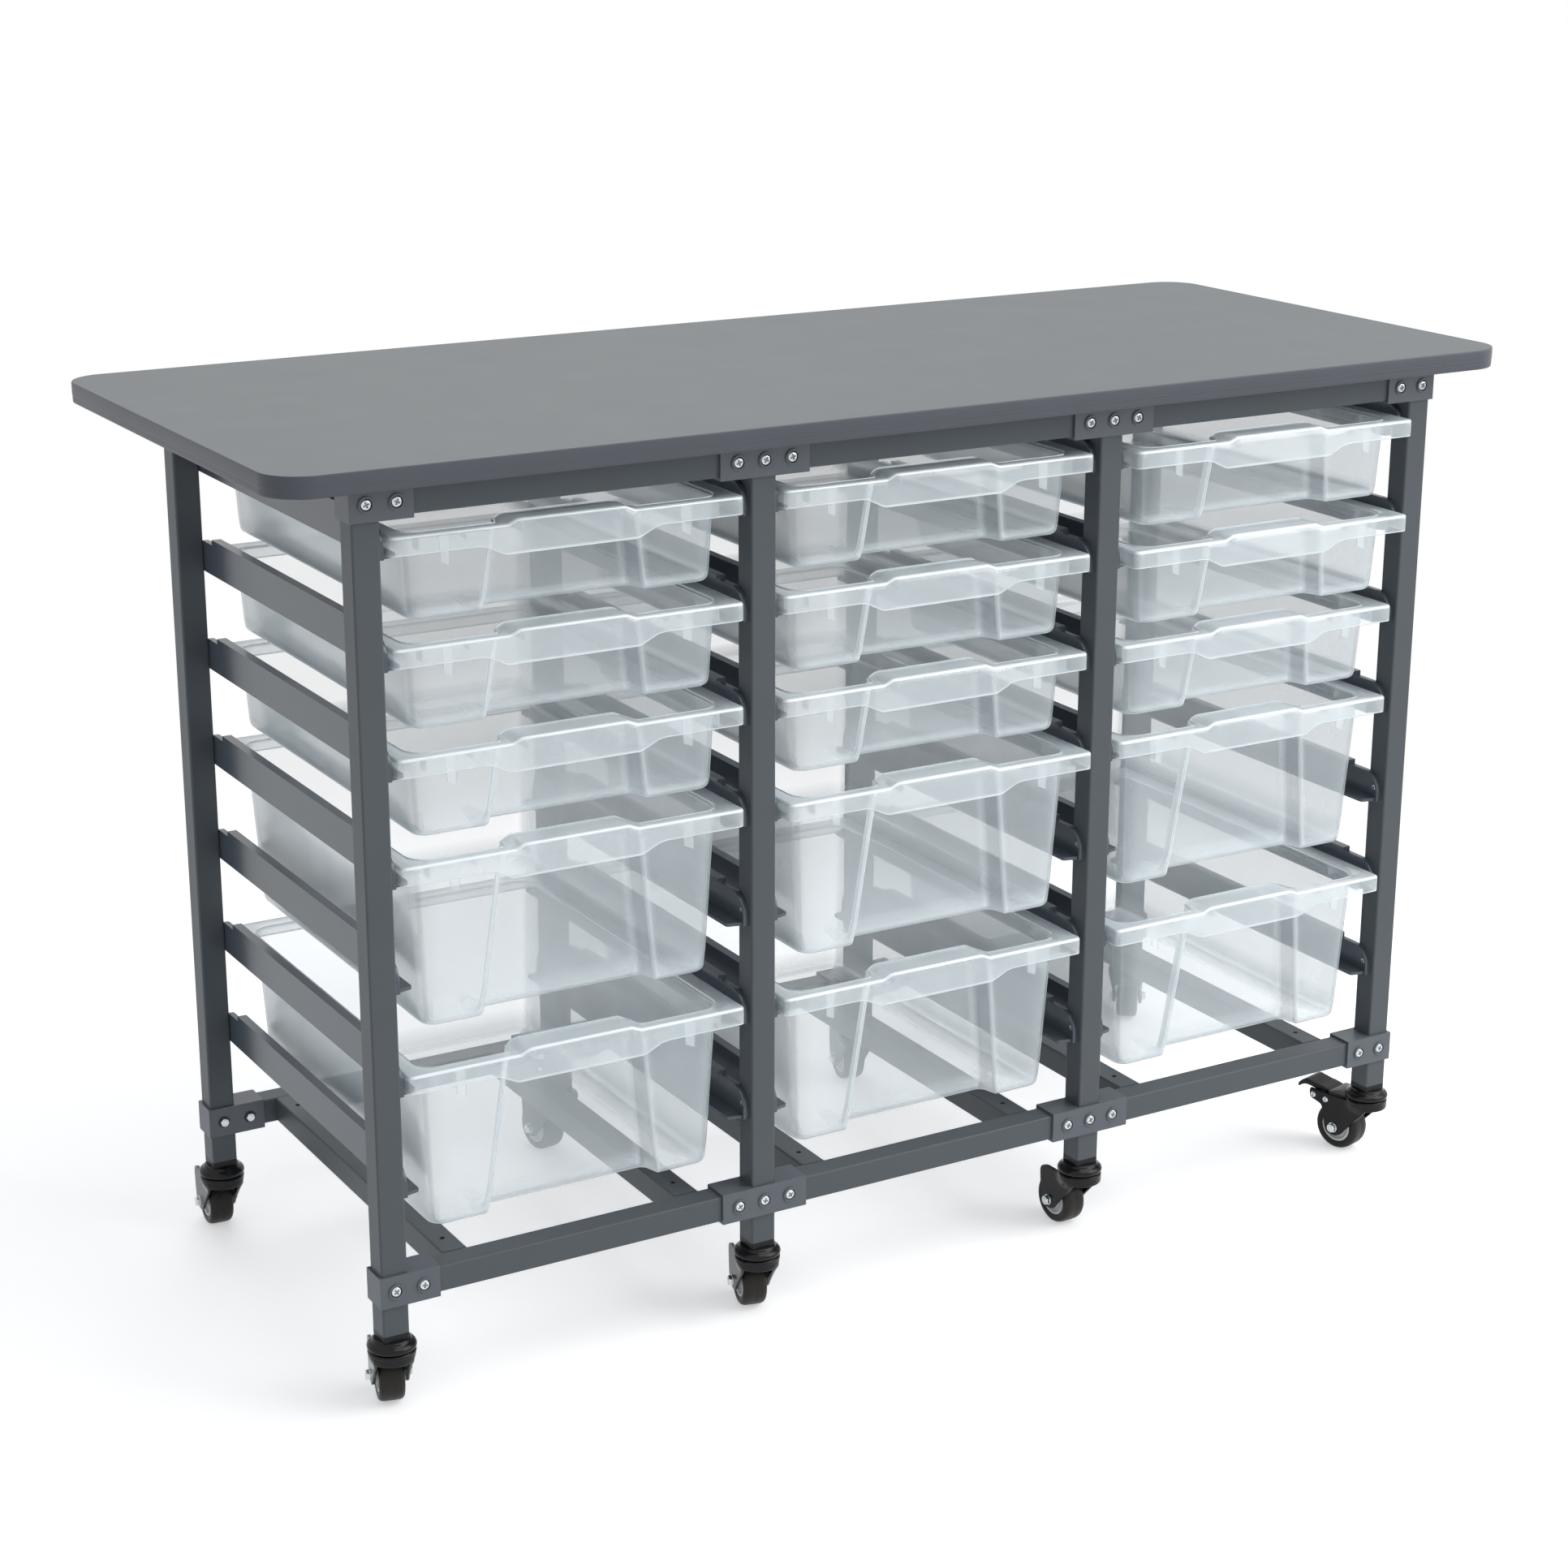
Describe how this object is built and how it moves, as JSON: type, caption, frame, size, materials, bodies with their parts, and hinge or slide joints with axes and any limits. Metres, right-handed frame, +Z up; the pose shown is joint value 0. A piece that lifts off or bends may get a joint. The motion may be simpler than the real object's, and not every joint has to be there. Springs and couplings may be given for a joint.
{
  "type": "mobile storage cart",
  "caption": "Mobile storage cart: flat worktop on a square-tube frame with swivel casters and pull-out translucent bins on runners.",
  "frame": {"origin": "on the floor, under the middle of the worktop", "axes": "+Z up, the front with the bin handles faces -Y, +X to the right along the row of bays"},
  "size_m": [1.3, 0.54, 0.866],
  "materials": {
    "worktop_laminate": "satin grey laminate",
    "edge_band": "satin dark grey band",
    "frame_paint": "satin slate grey powder coat",
    "connector_plastic": "satin slate moulding",
    "runner_plastic": "semi-gloss slate moulding",
    "zinc": "bright zinc plate",
    "black_plastic": "black moulding",
    "caster_steel": "gloss black paint on pressed steel",
    "tyre_rubber": "brown-black rubber",
    "hub_plastic": "light grey moulding",
    "bin_plastic": "milky translucent polypropylene"
  },
  "bodies": {
    "frame": {"worktop": "worktop_laminate", "worktop_edge_band": "edge_band", "worktop_screws": "zinc", "front_posts": "frame_paint", "rear_posts": "frame_paint", "bottom_rails": "frame_paint", "top_rails": "frame_paint", "bottom_cross_rails": "frame_paint", "top_cross_rails": "frame_paint", "corner_connectors": "connector_plastic", "middle_connectors": "connector_plastic", "connector_screws": "zinc", "connector_nuts": "zinc", "left_runners": "runner_plastic", "right_runners": "runner_plastic", "runner_screws": "zinc", "leg_inserts": "black_plastic", "caster_stems": "caster_steel"},
    "front_caster_1_swivel": {"front_caster_1_fork": "caster_steel"},
    "front_caster_1_wheel": {"front_caster_1_tyre": "tyre_rubber", "front_caster_1_hub": "hub_plastic"},
    "front_caster_2_swivel": {"front_caster_2_fork": "caster_steel"},
    "front_caster_2_wheel": {"front_caster_2_tyre": "tyre_rubber", "front_caster_2_hub": "hub_plastic"},
    "front_caster_3_swivel": {"front_caster_3_fork": "caster_steel"},
    "front_caster_3_wheel": {"front_caster_3_tyre": "tyre_rubber", "front_caster_3_hub": "hub_plastic"},
    "front_caster_4_swivel": {"front_caster_4_fork": "caster_steel"},
    "front_caster_4_wheel": {"front_caster_4_tyre": "tyre_rubber", "front_caster_4_hub": "hub_plastic"},
    "front_caster_4_brake_pedal": {"front_caster_4_brake_pedal": "caster_steel"},
    "rear_caster_1_swivel": {"rear_caster_1_fork": "caster_steel"},
    "rear_caster_1_wheel": {"rear_caster_1_tyre": "tyre_rubber", "rear_caster_1_hub": "hub_plastic"},
    "rear_caster_2_swivel": {"rear_caster_2_fork": "caster_steel"},
    "rear_caster_2_wheel": {"rear_caster_2_tyre": "tyre_rubber", "rear_caster_2_hub": "hub_plastic"},
    "rear_caster_3_swivel": {"rear_caster_3_fork": "caster_steel"},
    "rear_caster_3_wheel": {"rear_caster_3_tyre": "tyre_rubber", "rear_caster_3_hub": "hub_plastic"},
    "rear_caster_4_swivel": {"rear_caster_4_fork": "caster_steel"},
    "rear_caster_4_wheel": {"rear_caster_4_tyre": "tyre_rubber", "rear_caster_4_hub": "hub_plastic"},
    "rear_caster_4_brake_pedal": {"rear_caster_4_brake_pedal": "caster_steel"},
    "bay1_level1_bin": {"bay1_level1_bin": "bin_plastic"},
    "bay1_level2_bin": {"bay1_level2_bin": "bin_plastic"},
    "bay1_level3_bin": {"bay1_level3_bin": "bin_plastic"},
    "bay1_level4_bin": {"bay1_level4_bin": "bin_plastic"},
    "bay1_level6_bin": {"bay1_level6_bin": "bin_plastic"},
    "bay2_level1_bin": {"bay2_level1_bin": "bin_plastic"},
    "bay2_level2_bin": {"bay2_level2_bin": "bin_plastic"},
    "bay2_level3_bin": {"bay2_level3_bin": "bin_plastic"},
    "bay2_level4_bin": {"bay2_level4_bin": "bin_plastic"},
    "bay2_level6_bin": {"bay2_level6_bin": "bin_plastic"},
    "bay3_level1_bin": {"bay3_level1_bin": "bin_plastic"},
    "bay3_level2_bin": {"bay3_level2_bin": "bin_plastic"},
    "bay3_level3_bin": {"bay3_level3_bin": "bin_plastic"},
    "bay3_level4_bin": {"bay3_level4_bin": "bin_plastic"},
    "bay3_level6_bin": {"bay3_level6_bin": "bin_plastic"}
  },
  "joints": [
    {"name": "front_caster_1_swivel_turn", "type": "hinge", "parent": "frame", "child": "front_caster_1_swivel", "pos_m": [-0.5625, -0.2295, 0.0652], "axis": [0, 0, 1], "continuous": true},
    {"name": "front_caster_1_wheel_turn", "type": "hinge", "parent": "front_caster_1_swivel", "child": "front_caster_1_wheel", "pos_m": [-0.55498, -0.2018, 0.0254], "axis": [-0.965, 0.2622, 0], "continuous": true},
    {"name": "front_caster_2_swivel_turn", "type": "hinge", "parent": "frame", "child": "front_caster_2_swivel", "pos_m": [-0.1875, -0.2295, 0.0652], "axis": [0, 0, 1], "continuous": true},
    {"name": "front_caster_2_wheel_turn", "type": "hinge", "parent": "front_caster_2_swivel", "child": "front_caster_2_wheel", "pos_m": [-0.18017, -0.20175, 0.0254], "axis": [-0.9668, 0.2554, 0], "continuous": true},
    {"name": "front_caster_3_swivel_turn", "type": "hinge", "parent": "frame", "child": "front_caster_3_swivel", "pos_m": [0.1875, -0.2295, 0.0652], "axis": [0, 0, 1], "continuous": true},
    {"name": "front_caster_3_wheel_turn", "type": "hinge", "parent": "front_caster_3_swivel", "child": "front_caster_3_wheel", "pos_m": [0.18665, -0.20081, 0.0254], "axis": [-0.9996, -0.0297, 0], "continuous": true},
    {"name": "front_caster_4_swivel_turn", "type": "hinge", "parent": "frame", "child": "front_caster_4_swivel", "pos_m": [0.5625, -0.2295, 0.0652], "axis": [0, 0, 1], "continuous": true},
    {"name": "front_caster_4_wheel_turn", "type": "hinge", "parent": "front_caster_4_swivel", "child": "front_caster_4_wheel", "pos_m": [0.55502, -0.20179, 0.0254], "axis": [-0.9655, -0.2605, 0], "continuous": true},
    {"name": "front_caster_4_brake_pedal_press", "type": "hinge", "parent": "front_caster_4_swivel", "child": "front_caster_4_brake_pedal", "pos_m": [0.55218, -0.19127, 0.0547], "axis": [-0.9655, -0.2605, 0], "range_deg": [0, 15]},
    {"name": "rear_caster_1_swivel_turn", "type": "hinge", "parent": "frame", "child": "rear_caster_1_swivel", "pos_m": [-0.5625, 0.1975, 0.0652], "axis": [0, 0, 1], "continuous": true},
    {"name": "rear_caster_1_wheel_turn", "type": "hinge", "parent": "rear_caster_1_swivel", "child": "rear_caster_1_wheel", "pos_m": [-0.56025, 0.22611, 0.0254], "axis": [-0.9969, 0.0785, 0], "continuous": true},
    {"name": "rear_caster_2_swivel_turn", "type": "hinge", "parent": "frame", "child": "rear_caster_2_swivel", "pos_m": [-0.1875, 0.1975, 0.0652], "axis": [0, 0, 1], "continuous": true},
    {"name": "rear_caster_2_wheel_turn", "type": "hinge", "parent": "rear_caster_2_swivel", "child": "rear_caster_2_wheel", "pos_m": [-0.19149, 0.22592, 0.0254], "axis": [-0.9903, -0.1392, 0], "continuous": true},
    {"name": "rear_caster_3_swivel_turn", "type": "hinge", "parent": "frame", "child": "rear_caster_3_swivel", "pos_m": [0.1875, 0.1975, 0.0652], "axis": [0, 0, 1], "continuous": true},
    {"name": "rear_caster_3_wheel_turn", "type": "hinge", "parent": "rear_caster_3_swivel", "child": "rear_caster_3_wheel", "pos_m": [0.19248, 0.22576, 0.0254], "axis": [-0.9848, 0.1736, 0], "continuous": true},
    {"name": "rear_caster_4_swivel_turn", "type": "hinge", "parent": "frame", "child": "rear_caster_4_swivel", "pos_m": [0.5625, 0.1975, 0.0652], "axis": [0, 0, 1], "continuous": true},
    {"name": "rear_caster_4_wheel_turn", "type": "hinge", "parent": "rear_caster_4_swivel", "child": "rear_caster_4_wheel", "pos_m": [0.58095, 0.21949, 0.0254], "axis": [-0.766, 0.6428, 0], "continuous": true},
    {"name": "rear_caster_4_brake_pedal_press", "type": "hinge", "parent": "rear_caster_4_swivel", "child": "rear_caster_4_brake_pedal", "pos_m": [0.58795, 0.22784, 0.0547], "axis": [-0.766, 0.6428, 0], "range_deg": [0, 15]},
    {"name": "bay1_level1_bin_slide", "type": "slide", "parent": "frame", "child": "bay1_level1_bin", "axis": [0, -1, 0], "range_m": [0, 0.33]},
    {"name": "bay1_level2_bin_slide", "type": "slide", "parent": "frame", "child": "bay1_level2_bin", "axis": [0, -1, 0], "range_m": [0, 0.33]},
    {"name": "bay1_level3_bin_slide", "type": "slide", "parent": "frame", "child": "bay1_level3_bin", "axis": [0, -1, 0], "range_m": [0, 0.33]},
    {"name": "bay1_level4_bin_slide", "type": "slide", "parent": "frame", "child": "bay1_level4_bin", "axis": [0, -1, 0], "range_m": [0, 0.33]},
    {"name": "bay1_level6_bin_slide", "type": "slide", "parent": "frame", "child": "bay1_level6_bin", "axis": [0, -1, 0], "range_m": [0, 0.33]},
    {"name": "bay2_level1_bin_slide", "type": "slide", "parent": "frame", "child": "bay2_level1_bin", "axis": [0, -1, 0], "range_m": [0, 0.33]},
    {"name": "bay2_level2_bin_slide", "type": "slide", "parent": "frame", "child": "bay2_level2_bin", "axis": [0, -1, 0], "range_m": [0, 0.33]},
    {"name": "bay2_level3_bin_slide", "type": "slide", "parent": "frame", "child": "bay2_level3_bin", "axis": [0, -1, 0], "range_m": [0, 0.33]},
    {"name": "bay2_level4_bin_slide", "type": "slide", "parent": "frame", "child": "bay2_level4_bin", "axis": [0, -1, 0], "range_m": [-0.012, 0.33]},
    {"name": "bay2_level6_bin_slide", "type": "slide", "parent": "frame", "child": "bay2_level6_bin", "axis": [0, -1, 0], "range_m": [-0.004, 0.33]},
    {"name": "bay3_level1_bin_slide", "type": "slide", "parent": "frame", "child": "bay3_level1_bin", "axis": [0, -1, 0], "range_m": [-0.014, 0.33]},
    {"name": "bay3_level2_bin_slide", "type": "slide", "parent": "frame", "child": "bay3_level2_bin", "axis": [0, -1, 0], "range_m": [-0.015, 0.33]},
    {"name": "bay3_level3_bin_slide", "type": "slide", "parent": "frame", "child": "bay3_level3_bin", "axis": [0, -1, 0], "range_m": [0, 0.33]},
    {"name": "bay3_level4_bin_slide", "type": "slide", "parent": "frame", "child": "bay3_level4_bin", "axis": [0, -1, 0], "range_m": [0, 0.33]},
    {"name": "bay3_level6_bin_slide", "type": "slide", "parent": "frame", "child": "bay3_level6_bin", "axis": [0, -1, 0], "range_m": [-0.007, 0.33]}
  ]
}
